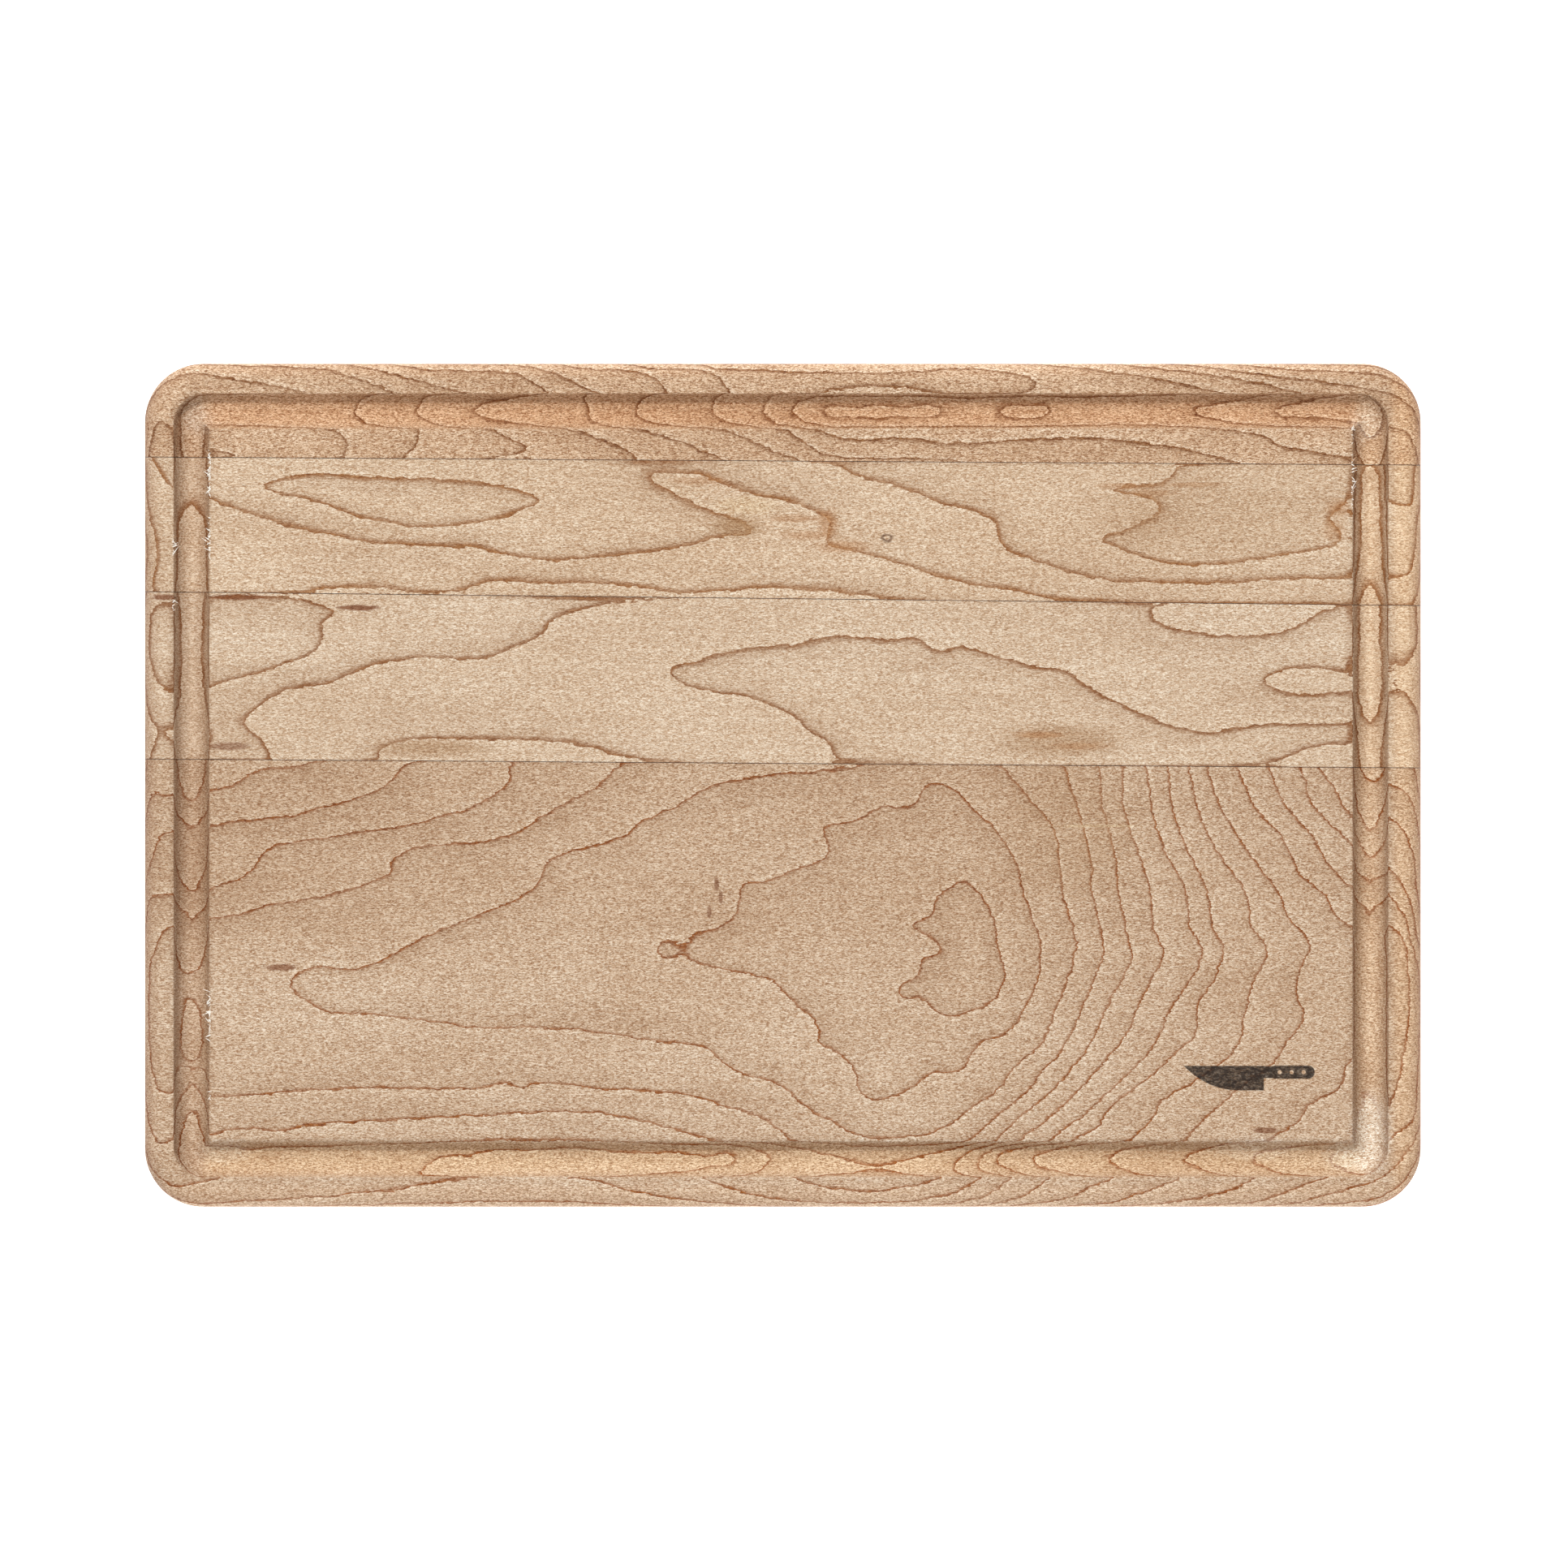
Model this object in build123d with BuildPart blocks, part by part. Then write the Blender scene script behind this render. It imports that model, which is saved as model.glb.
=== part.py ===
from build123d import *

import math
import os

# Cutting board: an edge-glued maple panel of four staves, with its grain along X.
# Origin at the middle of the underside, +Z up, the far edge towards +Y. Millimetres.

# Driving dimensions of the panel
board_length = 457.0  # along the grain, X
board_width = 302.0  # across the grain, Y
board_thickness = 19.0
corner_radius = 21.0  # plan radius of the four corners
rim_radius = 6.35  # round-over of the rim, on both faces

# Juice groove: a round-nose cutter run round the top face
cutter_radius = 6.35
groove_depth = 5.5
groove_path_length = 422.0  # centre-line of the groove, end to end
groove_path_width = 267.8  # centre-line of the groove, side to side
groove_path_radius = 4.7  # centre-line radius at the four corners
groove_shift = -0.65  # the groove sits this far off centre, along X
lip_break = 0.4  # sanded edge of the groove's lips

# Glue films between the staves, numbered from the far edge.
# Each seam runs slightly out of square, from one Y at the -X end to another at the +X end.
glue_thickness = 0.25
seam_ends = [(117.5, 114.6), (69.3, 64.3), (9.4, 6.2)]

# Worked out from the sizes above
half_length = board_length / 2
cutter_height = board_thickness + cutter_radius - groove_depth
half_path_length = groove_path_length / 2
half_path_width = groove_path_width / 2
long_run = groove_path_length - 2 * groove_path_radius
short_run = groove_path_width - 2 * groove_path_radius
tolerance = 0.01


def seam_plane(ends, side):
    """The face of a glue film: side is +1 for its far face and -1 for its near face."""
    left_y, right_y = ends
    tilt = math.atan2(right_y - left_y, board_length)
    middle = (left_y + right_y) / 2
    offset = side * glue_thickness / 2 / math.cos(tilt)
    return Plane(
        origin=(0, middle + offset, 0),
        x_dir=(math.cos(tilt), math.sin(tilt), 0),
        z_dir=(-math.sin(tilt), math.cos(tilt), 0),
    )


def corner_centre(side_x, side_y):
    """Centre of the groove's corner arc in the quarter of the board given by two signs."""
    x = groove_shift + side_x * (half_path_length - groove_path_radius)
    y = side_y * (half_path_width - groove_path_radius)
    return x, y


# The glued-up panel, before it is told apart into staves and glue films
with BuildPart() as panel:
    with BuildSketch(Plane.XY):
        RectangleRounded(board_length, board_width, corner_radius)
    extrude(amount=board_thickness)
    rim_edges = panel.edges().group_by(Axis.Z)[0] + panel.edges().group_by(Axis.Z)[-1]
    fillet(rim_edges, radius=rim_radius)

    # Straight runs of the groove, from one corner's centre to the next
    for side in (-1, 1):
        start_x, start_y = corner_centre(-1, side)
        run_y = side * half_path_width
        with BuildSketch(Plane.YZ.offset(start_x)):
            with Locations((run_y, cutter_height)):
                Circle(cutter_radius)
        extrude(amount=long_run, mode=Mode.SUBTRACT)

        run_x = groove_shift + side * half_path_length
        start_x, start_y = corner_centre(side, 1)
        with BuildSketch(Plane.XZ.offset(-start_y)):
            with Locations((run_x, cutter_height)):
                Circle(cutter_radius)
        extrude(amount=short_run, mode=Mode.SUBTRACT)

    # Corners of the groove: the same section turned about the corner's centre
    for side_x in (-1, 1):
        for side_y in (-1, 1):
            centre_x, centre_y = corner_centre(side_x, side_y)
            section_plane = Plane(
                origin=(centre_x, centre_y, 0),
                x_dir=(side_x, 0, 0),
                z_dir=(0, -side_x, 0),
            )
            with BuildSketch(section_plane):
                with Locations((groove_path_radius, cutter_height)):
                    Circle(cutter_radius)
                with Locations((-cutter_radius, cutter_height)):
                    Rectangle(2 * cutter_radius, 4 * cutter_radius, mode=Mode.SUBTRACT)
            turn = Axis((centre_x, centre_y, 0), (0, 0, side_x * side_y))
            revolve(axis=turn, revolution_arc=90, mode=Mode.SUBTRACT)

    # The sanded lips, on the top face only
    lip_edges = [
        edge
        for edge in panel.edges()
        if edge.bounding_box().min.Z > board_thickness - tolerance
        and abs(edge.center().Y) < half_path_width + cutter_radius + tolerance
        and abs(edge.center().X - groove_shift) < half_path_length + cutter_radius + tolerance
    ]
    fillet(lip_edges, radius=lip_break)


# Each stave is the panel's stretch between two seams
os.makedirs("parts", exist_ok=True)
stave_count = len(seam_ends) + 1
for number in range(1, stave_count + 1):
    with BuildPart() as stave:
        add(panel.part)
        if number > 1:
            split(bisect_by=seam_plane(seam_ends[number - 2], -1), keep=Keep.BOTTOM)
        if number < stave_count:
            split(bisect_by=seam_plane(seam_ends[number - 1], 1), keep=Keep.TOP)
    stave.part.label = f"stave_{number}"
    export_step(stave.part, f"parts/stave_{number}.step")

# Each glue film is the thin slice of the panel inside one seam
for number, ends in enumerate(seam_ends, start=1):
    with BuildPart() as glue_line:
        add(panel.part)
        split(bisect_by=seam_plane(ends, 1), keep=Keep.BOTTOM)
        split(bisect_by=seam_plane(ends, -1), keep=Keep.TOP)
    glue_line.part.label = f"glue_line_{number}"
    export_step(glue_line.part, f"parts/glue_line_{number}.step")
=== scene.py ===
import math
import random

import bpy
import numpy as np
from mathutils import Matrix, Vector
from mathutils.geometry import delaunay_2d_cdt


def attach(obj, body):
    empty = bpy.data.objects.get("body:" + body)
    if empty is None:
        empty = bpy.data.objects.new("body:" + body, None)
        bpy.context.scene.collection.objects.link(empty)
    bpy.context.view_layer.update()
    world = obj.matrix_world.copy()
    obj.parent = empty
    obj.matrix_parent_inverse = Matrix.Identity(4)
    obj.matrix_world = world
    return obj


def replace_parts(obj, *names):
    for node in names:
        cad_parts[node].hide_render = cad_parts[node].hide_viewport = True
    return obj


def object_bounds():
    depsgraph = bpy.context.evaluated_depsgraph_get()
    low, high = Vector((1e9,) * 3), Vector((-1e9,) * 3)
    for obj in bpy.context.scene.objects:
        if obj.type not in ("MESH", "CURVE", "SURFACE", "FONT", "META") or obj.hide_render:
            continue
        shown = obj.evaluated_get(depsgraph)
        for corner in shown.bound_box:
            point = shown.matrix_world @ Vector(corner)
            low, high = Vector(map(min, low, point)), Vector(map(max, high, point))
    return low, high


# Cutting board: four maple staves glued edge to edge, with a juice groove round the top face.
# Lengths here are millimetres until a mesh is made, which is in metres. +Y is the far edge.

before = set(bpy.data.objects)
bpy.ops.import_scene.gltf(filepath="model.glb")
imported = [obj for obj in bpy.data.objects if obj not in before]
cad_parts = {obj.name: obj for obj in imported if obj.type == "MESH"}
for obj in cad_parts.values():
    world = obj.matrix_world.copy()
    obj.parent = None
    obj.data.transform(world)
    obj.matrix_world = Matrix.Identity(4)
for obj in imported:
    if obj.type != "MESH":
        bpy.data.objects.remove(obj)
cad_low, cad_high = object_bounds()
random.seed(7)

MM = 0.001
LENGTH = round((cad_high.x - cad_low.x) / MM, 1)
WIDTH = round((cad_high.y - cad_low.y) / MM, 1)
THICKNESS = round((cad_high.z - cad_low.z) / MM, 1)

# The same section as the CAD
CORNER_RADIUS = 21.0
RIM_RADIUS = 6.35
CUTTER_RADIUS = 6.35
GROOVE_DEPTH = 5.5
GROOVE_HALF_LENGTH = 211.0
GROOVE_HALF_WIDTH = 133.9
GROOVE_RADIUS = 4.7
GROOVE_SHIFT = -0.65
LIP_RADIUS = 0.4
GLUE_THICKNESS = 0.25
SEAMS = [(117.5, 114.6), (69.3, 64.3), (9.4, 6.2)]

# Where the groove's wall meets the rounded lip, and where the lip meets the flat
CUTTER_RISE = CUTTER_RADIUS - GROOVE_DEPTH
LIP_RISE = CUTTER_RISE + LIP_RADIUS
LIP_OUTER = math.sqrt((CUTTER_RADIUS + LIP_RADIUS) ** 2 - LIP_RISE**2)
LIP_INNER = LIP_OUTER * CUTTER_RADIUS / (CUTTER_RADIUS + LIP_RADIUS)

# Growth rings gained for each millimetre below the cutting face
RINGS_PER_DEPTH = 0.2
# How much longer than wide the rings' shapes are, for each stave
FIGURE_STRETCH = {1: 2.0, 2: 2.0, 3: 2.0, 4: 1.3}

# Ring lines on the face and rim of each stave: the ring's age, then points along the line.
# An age that isn't whole draws no line: it holds the figure level between two rings.
RING_LINES = {}
RING_LINES[1] = [
    (-2, [(-204, 120.5), (-197, 119)]),
    (-1, [(-159, 127), (-155.5, 122), (-157, 117.5)]),
    (0, [(-130.5, 127), (-131, 122), (-135, 117.5)]),
    (1, [(-102, 126), (-91, 121), (-101, 117)]),
    (2, [(-74, 127), (-59.5, 122), (-50.5, 116.5)]),
    (3, [(-49, 127), (-34.5, 122.5), (-22, 117)]),
    (4, [(-18.5, 127), (-1.5, 119), (5, 117)]),
    (5, [(2, 127), (9.5, 122), (20, 117.5), (56.5, 117)]),
    (6, [(12.5, 127.5), (24.5, 124), (46, 124.5), (61, 122.5), (105.5, 124.5), (137, 121.5),
         (158.5, 117)]),
    (7, [(160, 128.5), (173.5, 124.5), (178, 121.5), (193.5, 119), (204, 117)]),
    (-1, [(-208, 147.5), (-190, 144.5), (-171, 141)]),
    (0, [(-163.5, 149), (-150, 145), (-140, 141)]),
    (2, [(-128, 149), (-102, 148), (-91.5, 146), (-84, 141)]),
    (3, [(-84.5, 149), (-78.5, 146), (-67, 141)]),
    (4, [(-72, 149.5), (-49, 147.5), (-42, 141.5)]),
    (5, [(-48, 149.5), (-26, 148), (-19, 141)]),
    (6, [(-25, 149.5), (9.5, 148), (41.5, 148), (61, 149.5)]),
    (7, [(107, 149.5), (126.5, 147), (141.5, 144), (156.5, 141)]),
    (8, [(133, 149.5), (150, 147.5), (166, 145), (184, 141)]),
    (9, [(163, 148.5), (178, 146.5), (198, 144), (208, 142.5)]),
]
RING_LINES[2] = [
    (1, [(-186.5, 106.5), (-179.5, 110), (-164.5, 111.5), (-144.5, 110.5), (-128.5, 110), (-107.5, 108.5),
         (-97, 106.5), (-86.5, 102.5), (-93, 98.5), (-102.5, 95), (-115.5, 93), (-128.5, 92),
         (-140.5, 93.5), (-152.5, 96), (-165.5, 101), (-176, 103.5), (-182.5, 104.5), (-186.5, 106.5)]),
    (2, [(-226, 117), (-218.5, 106.5), (-205, 102), (-197, 99), (-184, 95), (-173.5, 91.5),
         (-161.5, 89.5), (-144.5, 86.5), (-113, 85), (-100, 82.5), (-92, 81), (-78.5, 80.5), (-52.5, 83),
         (-34, 85.5), (-23.5, 88.5), (-10.5, 90), (-15.5, 95), (-26, 98.5), (-36.5, 103.5), (-42, 106.5),
         (-48.5, 111), (-32.5, 111.5), (-23.5, 108.5), (-10.5, 104), (4, 100.5), (16, 95.5), (15.5, 87),
         (21.5, 84.5), (34, 81.5), (48, 77), (65.5, 72), (80.5, 70), (94.5, 67)]),
    (1, [(10.5, 115.5), (20, 113.5), (28.5, 110), (39.5, 107.5), (49, 104), (57.5, 100.5), (71, 97),
         (76.5, 93.5), (77, 89), (80.5, 84), (91.5, 79.5), (102.5, 76), (112.5, 73.5), (130, 72.5),
         (157.5, 72), (178, 73.5), (204, 74)]),
    (0, [(141, 115), (138, 110), (134, 108), (122, 108), (116.5, 106), (124.5, 104.5), (131.5, 102),
         (135.5, 98.5), (131.5, 95.5), (122, 91.5), (113.5, 88), (119, 85.5), (127, 82), (138, 79.5),
         (147.5, 78.5), (161.5, 79.5), (175.5, 81.5), (190.5, 84), (198.5, 86), (200, 91), (195.5, 95),
         (197, 97.5), (202.5, 100.5)]),
    (3, [(-117, 68.5), (-110, 71.5), (-102.5, 73), (-86.5, 72), (-68, 72.5), (-46, 70), (-34, 68.5),
         (-7, 70.5), (8.5, 70), (25.5, 68.5)]),
    (0, [(217, 101), (225, 100.5), (226.5, 114)]),
    (3, [(-227.5, 99), (-224.5, 88), (-224, 82), (-225.5, 73)]),
    (1, [(217, 74), (225, 77), (227.5, 96)]),
    (2.5, [(-220.5, 98), (-220.5, 76)]),
    (2.5, [(-202, 93), (-202, 84), (-202, 76)]),
    (0.25, [(110, 112), (125, 113)]),
]
RING_LINES[3] = [
    (0, [(-205, 67.5), (-188, 68), (-174.5, 67.5), (-167, 65), (-160, 62), (-165, 57.5), (-164.5, 54),
         (-167, 48), (-176, 44), (-184, 41), (-195.5, 38), (-204.5, 35)]),
    (1, [(-46, 66.5), (-63, 65), (-76, 61.5), (-84, 58), (-84.5, 55), (-93, 50.5), (-105, 46),
         (-111.5, 45), (-127.5, 45.5), (-143, 43.5), (-151, 41), (-164.5, 36), (-176, 34.5), (-184, 30.5),
         (-192.5, 23.5), (-190.5, 20), (-186.5, 16.5), (-183, 10)]),
    (1, [(204, 23), (187.5, 22), (175.5, 22.5), (164.5, 21), (152, 19), (141, 21), (130, 25),
         (116.5, 31.5), (105.5, 37.5), (102.5, 41), (89, 43), (75, 47), (64, 50), (60, 48.5), (53.5, 49),
         (46.5, 53.5), (38, 52), (27, 53.5), (17.5, 53.5), (5, 50.5), (-7, 50), (-23.5, 47), (-32.5, 44),
         (-38, 43), (-40, 39), (-35.5, 36), (-23.5, 33), (-13, 31.5), (-6, 29), (2.5, 25), (9.5, 19.5),
         (14.5, 16.5), (17.5, 13), (19, 8)]),
    (2, [(-144.5, 12.5), (-134, 16), (-115.5, 16.5), (-95.5, 16), (-81, 15.5), (-69.5, 13.5), (-60.5, 11),
         (-52.5, 9)]),
    (2, [(138, 64.5), (132.5, 63.5), (132, 60.5), (136.5, 57.5), (146.5, 55), (157.5, 54), (168.5, 53.5),
         (178, 55), (185, 57.5), (191.5, 61.5), (200, 65)]),
    (2, [(204, 39.5), (195.5, 41.5), (182, 41.5), (172.5, 37.5), (178, 34), (190.5, 32.5), (204, 34)]),
    (1, [(172.5, 7), (185, 12), (191.5, 14), (204, 15)]),
    (1, [(-218.5, 20), (-224, 17), (-226.5, 10)]),
    (0, [(-218.5, 65.5), (-225, 63.5), (-227, 55), (-227, 48), (-225, 38.5), (-218.5, 32.5)]),
    (2, [(227, 63.5), (227, 49.5), (222, 43), (221, 37), (223, 33), (227, 27)]),
]
RING_LINES[4] = [
    (0, [(46, -49), (53, -46), (55, -40), (60, -36), (64, -34), (70, -38), (74, -44), (76.5, -50),
         (77, -58), (79.5, -64.5), (79.5, -70), (76, -77), (70, -80), (62, -83), (55, -81), (49.5, -76),
         (44, -77), (41, -74), (43.5, -70), (48, -69), (50, -62), (57, -59.5), (52.5, -55), (46, -49)]),
    (1, [(-35, -57), (-30, -52.5), (-23, -51), (-17, -46.5), (-15.5, -41), (-14.5, -35), (-5.5, -34),
         (4, -30), (15.5, -26), (16, -21), (15, -14.5), (25.5, -12.5), (36, -7), (42.5, -8), (48, -6),
         (50, -1), (56, 1), (61.5, -1), (68, -8), (75, -14), (79.5, -20), (84, -28), (86.5, -38.5),
         (91.5, -53), (92.5, -58), (91.5, -69.5), (85, -83.5), (78.5, -89.5), (70, -93), (64, -102.5),
         (55, -102.5), (50, -105.5), (44, -110), (32, -113), (27.5, -110), (26, -104), (23, -99),
         (18, -95), (13, -93), (12.5, -87), (9.5, -82.5), (4, -78.5), (-3.5, -70.5), (-13, -68),
         (-24.5, -65.5), (-35, -61.5), (-35, -57)]),
    (1, [(-45.5, -59.5), (-43, -56), (-37.5, -55.5), (-37.5, -61.5), (-42.5, -62.5), (-45.5, -59.5)]),
    (2, [(28.5, 8), (17, 5.5), (-3.5, 4), (-17, 2), (-25.5, 0), (-37.5, -7), (-51, -13), (-55.5, -17.5),
         (-62.5, -20), (-78, -24), (-84.5, -28), (-87.5, -34.5), (-90.5, -38), (-101, -43), (-113, -48),
         (-129, -54), (-137.5, -59), (-149, -64.5), (-157.5, -65.5), (-166, -64.5), (-172.5, -67),
         (-176.5, -70), (-174.5, -74), (-170, -77.5), (-164, -81), (-151, -82), (-137.5, -83.5),
         (-124.5, -85), (-109, -87), (-90.5, -87), (-68, -88.5), (-44.5, -92), (-28.5, -94), (-21, -100),
         (-13, -104), (0, -108), (5.5, -113.5), (13, -118), (20, -122), (29, -126), (48, -126),
         (61.5, -121), (68, -115.5), (76.5, -110), (83, -101.5), (89.5, -96), (94, -90.5), (98, -80),
         (102, -70.5), (105.5, -58), (104.5, -52.5), (100.5, -38.5), (99, -24), (98, -17), (93.5, -10.5),
         (88.5, -5), (83, 2), (79.5, 6.5)]),
    (3, [(-207.5, -48), (-193.5, -46), (-184, -42.5), (-162, -39), (-147, -34.5), (-141.5, -32),
         (-139.5, -29), (-141, -27.5), (-136, -24), (-129, -21.5), (-108.5, -20), (-95, -16.5),
         (-88.5, -12.5), (-79, -7), (-69.5, -2), (-63, 3), (-59.5, 7)]),
    (3, [(-206, -111.5), (-186.5, -111), (-171.5, -109.5), (-143.5, -108.5), (-109.5, -109),
         (-101, -106.5), (-93, -109), (-88.5, -107), (-72.5, -107.5), (-66.5, -109), (-50, -109.5),
         (-34, -111), (-24.5, -114), (-7.5, -119), (-3.5, -122), (2, -126.5)]),
    (3, [(101, 6.5), (105.5, -6.5), (107.5, -14), (111, -29), (111, -38.5), (115, -55.5), (115, -61),
         (108.5, -77.5), (102, -92), (91.5, -104.5), (87.5, -110), (76.5, -119), (68, -126.5)]),
    (4, [(-207.5, -37.5), (-197, -34), (-190, -30), (-185, -23.5), (-179, -21), (-158.5, -17.5),
         (-134, -14), (-122.5, -11), (-109.5, -7), (-101, -1.5), (-97.5, 2), (-99, 6), (-99.5, 8.5)]),
    (4, [(-206, -125.5), (-192.5, -123), (-181, -124), (-170, -122), (-147, -120.5), (-101, -118),
         (-71.5, -117), (-59.5, -118.5), (-45.5, -121.5), (-27.5, -127)]),
    (4, [(113.5, 6), (115, -8.5), (119, -24.5), (120.5, -38.5), (125, -59), (124.5, -64), (114.5, -83),
         (109.5, -94), (97, -109.5), (83, -120.5), (77.5, -126.5)]),
    (5, [(-207.5, -14.5), (-197, -13), (-176.5, -10.5), (-166, -8), (-154.5, -5), (-142.5, 0),
         (-137.5, 5.5), (-133, 8.5)]),
    (5, [(122, 6), (122.5, -9), (127.5, -24.5), (131.5, -37), (133, -52), (136.5, -59), (135, -64),
         (128.5, -77), (123, -89.5), (113, -101.5), (102, -113.5), (86.5, -126)]),
    (6, [(-207.5, -2), (-198.5, -0.5), (-193.5, 2.5), (-186.5, 6), (-172, 7)]),
    (6, [(130.5, 6), (133.5, -13), (138, -25), (144, -36), (146, -50.5), (150.5, -59), (146.5, -69.5),
         (138, -82), (134, -92), (126, -101.5), (110.5, -116), (97, -126)]),
    (7, [(138, 6), (140, -9.5), (145.5, -24), (152, -37.5), (154, -51), (158, -58), (155, -69),
         (149, -78.5), (147.5, -89.5), (138, -98.5), (130, -106), (119, -113.5), (112.5, -123),
         (106, -126)]),
    (8, [(146.5, 3.5), (149.5, -10.5), (156, -24), (165.5, -37.5), (168, -49.5), (173.5, -59),
         (169, -70.5), (165.5, -82.5), (163.5, -93), (153, -102.5), (143, -109), (135.5, -113.5),
         (132.5, -120), (125.5, -126)]),
    (9, [(152, 6), (157, -7.5), (164, -19.5), (172, -31), (177, -37), (181, -47), (186, -52.5),
         (189, -58), (185, -66.5), (184.5, -75.5), (186.5, -81), (186, -85.5), (179.5, -93.5),
         (174.5, -101.5), (167.5, -105.5), (158, -113.5), (145, -126)]),
    (10, [(163.5, 5.5), (169, -7.5), (178.5, -18), (185, -31), (190.5, -36), (195, -40), (196, -44),
          (203, -50.5)]),
    (10, [(203, -99), (200, -108), (195.5, -111), (188.5, -114.5), (185, -120.5), (175.5, -126)]),
    (11, [(174.5, 6), (179.5, -6), (185, -13), (190.5, -18.5), (192.5, -24), (196, -29), (203, -35.5)]),
    (12, [(186, 5.5), (189.5, -6.5), (194.5, -12), (203, -20)]),
    (13, [(192.5, 6), (197.5, -1), (203, -10.5)]),
    (7, [(96, -141), (90, -144.5)]),
    (8, [(118, -141), (110, -144.5), (102.5, -148)]),
    (9, [(143, -140.5), (134.5, -144), (119, -149.5)]),
    (10, [(169.5, -140.5), (159.5, -145.5), (144, -149)]),
    (11, [(195, -140.5), (188, -143), (173, -148.5)]),
    (12, [(225.5, -129), (217.5, -138.5), (209, -143), (188, -149)]),
    (11, [(226, -120), (216.5, -127.5)]),
    (10, [(216.5, -117), (221, -103.5), (224.5, -80.5), (223, -56), (216.5, -49.5)]),
    (11, [(216.5, -38), (223, -47), (226, -60)]),
    (12, [(216, -28.5), (222, -36), (225.5, -44), (227, -54)]),
    (13, [(216.5, -11), (223, -17), (226.5, -27)]),
    (3, [(-218.5, -50), (-222.5, -53.5), (-226.5, -63), (-227, -73)]),
    (4, [(-218.5, -38.5), (-226.5, -40)]),
    (5, [(-218.5, -16), (-223.5, -18.5), (-227, -29)]),
    (6, [(-217.5, -2.5), (-227, -5)]),
    (9.6, [(201, -60), (201, -74), (200.5, -88), (199.5, -95)]),
    (10.35, [(204, -104), (203.5, -110), (202, -120)]),
    (9.7, [(216.2, -108), (216.5, -98), (217.5, -80), (217, -62)]),
]

# The middle of each run of the groove
RIGHT_RUN = GROOVE_SHIFT + GROOVE_HALF_LENGTH
LEFT_RUN = GROOVE_SHIFT - GROOVE_HALF_LENGTH

# Where ring lines turn back on the groove's floor: the run of the groove, the way that the tips
# point along it (towards +X or +Y, or the other way), then each tip's age and its X or Y
TONGUES = {}
TONGUES[1] = [
    ("far", -1, [(0, -156.5), (1, -135), (2, -113), (3, -74.5), (4, -56.5), (5, -29), (6, -10),
                 (7, 0.5), (8, 13.5), (8, 77.5), (8, 146.5), (9, 175.5)]),
    ("far", 1, [(8, 56), (8, 95)]),
]
TONGUES[2] = [
    ("left", 1, [(3, 100.5)]),
    ("right", 1, [(3, 72)]),
]
TONGUES[3] = [
    ("right", -1, [(3, 23)]),
]
TONGUES[4] = [
    ("left", -1, [(7, -6), (6, -16), (5, -38), (4, -48), (3, -99)]),
    ("left", 1, [(3, -79), (4, -107), (5, -117)]),
    ("near", -1, [(6, -112.5), (7, 78), (8, 91.5), (9, 119), (10, 147.5), (11, 170), (12, 198)]),
    ("near", 1, [(6, -16), (5, -3)]),
    ("right", -1, [(14, -16), (13, -26.5), (12, -36), (11, -46)]),
    ("right", 1, [(11, -112)]),
]
# A tongue's line also passes two places beside its tip: this far back, and this far to each side
TONGUE_LENGTH = 3.0
TONGUE_HALF_WIDTH = 2.2

# The wood's age on the groove's floor where no ring line crosses it: the run, then each place's
# age, its X or Y, and how far it is off the run's middle if it isn't on it
FLOOR_AGES = {}
FLOOR_AGES[1] = [
    ("left", [(-0.6, 128), (-0.6, 119)]),
    ("far", [(8.2, 35), (7.75, 67), (8.15, 86), (7.7, 110), (7.8, 130), (9.3, 192), (9.5, 208, -2.9)]),
]
FLOOR_AGES[2] = [
    ("left", [(3.5, 90), (3.5, 80), (3.5, 71)]),
    ("right", [(2.5, 110), (2.5, 98), (2.6, 86), (3.3, 66)]),
]
FLOOR_AGES[3] = [
    ("left", [(1.5, 64), (1.5, 52), (1.5, 40), (1.5, 28), (1.5, 15)]),
    ("right", [(3.4, 60), (3.4, 48), (3.4, 36), (2.4, 14)]),
]
FLOOR_AGES[4] = [
    ("left", [(3.4, -55), (2.85, -70), (3.15, -89), (2.9, -102)]),
    ("near", [(5.2, -190), (5.4, -165), (5.5, -150), (5.6, -132), (6.3, -90), (6.3, -62), (6.3, -38)]),
    ("right", [(10.5, -58), (10.5, -70), (10.5, -82), (10.5, -94), (10.7, -104), (11.5, -122)]),
]
# How far along the groove each of these places is felt
FLOOR_REACH = 5.0


# ---------------- the board's shape

def plan_distance(x, y, half_x, half_y, radius):
    """Distance in plan from a rounded rectangle, negative inside it."""
    past_x = np.abs(x) - (half_x - radius)
    past_y = np.abs(y) - (half_y - radius)
    outside = np.hypot(np.maximum(past_x, 0), np.maximum(past_y, 0))
    return outside + np.minimum(np.maximum(past_x, past_y), 0) - radius


def edge_inset(x, y):
    """How far a plan point lies inside the board's outline."""
    return -plan_distance(x, y, LENGTH / 2, WIDTH / 2, CORNER_RADIUS)


def groove_offset(x, y):
    """How far a plan point lies from the groove's centre-line."""
    from_middle = x - GROOVE_SHIFT
    return np.abs(plan_distance(from_middle, y, GROOVE_HALF_LENGTH, GROOVE_HALF_WIDTH, GROOVE_RADIUS))


def rim_drop(x, y):
    """How far the rounded rim lies below the face it rounds over."""
    inset = np.clip(edge_inset(x, y), 0, RIM_RADIUS)
    return RIM_RADIUS - np.sqrt(RIM_RADIUS**2 - (RIM_RADIUS - inset) ** 2)


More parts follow.
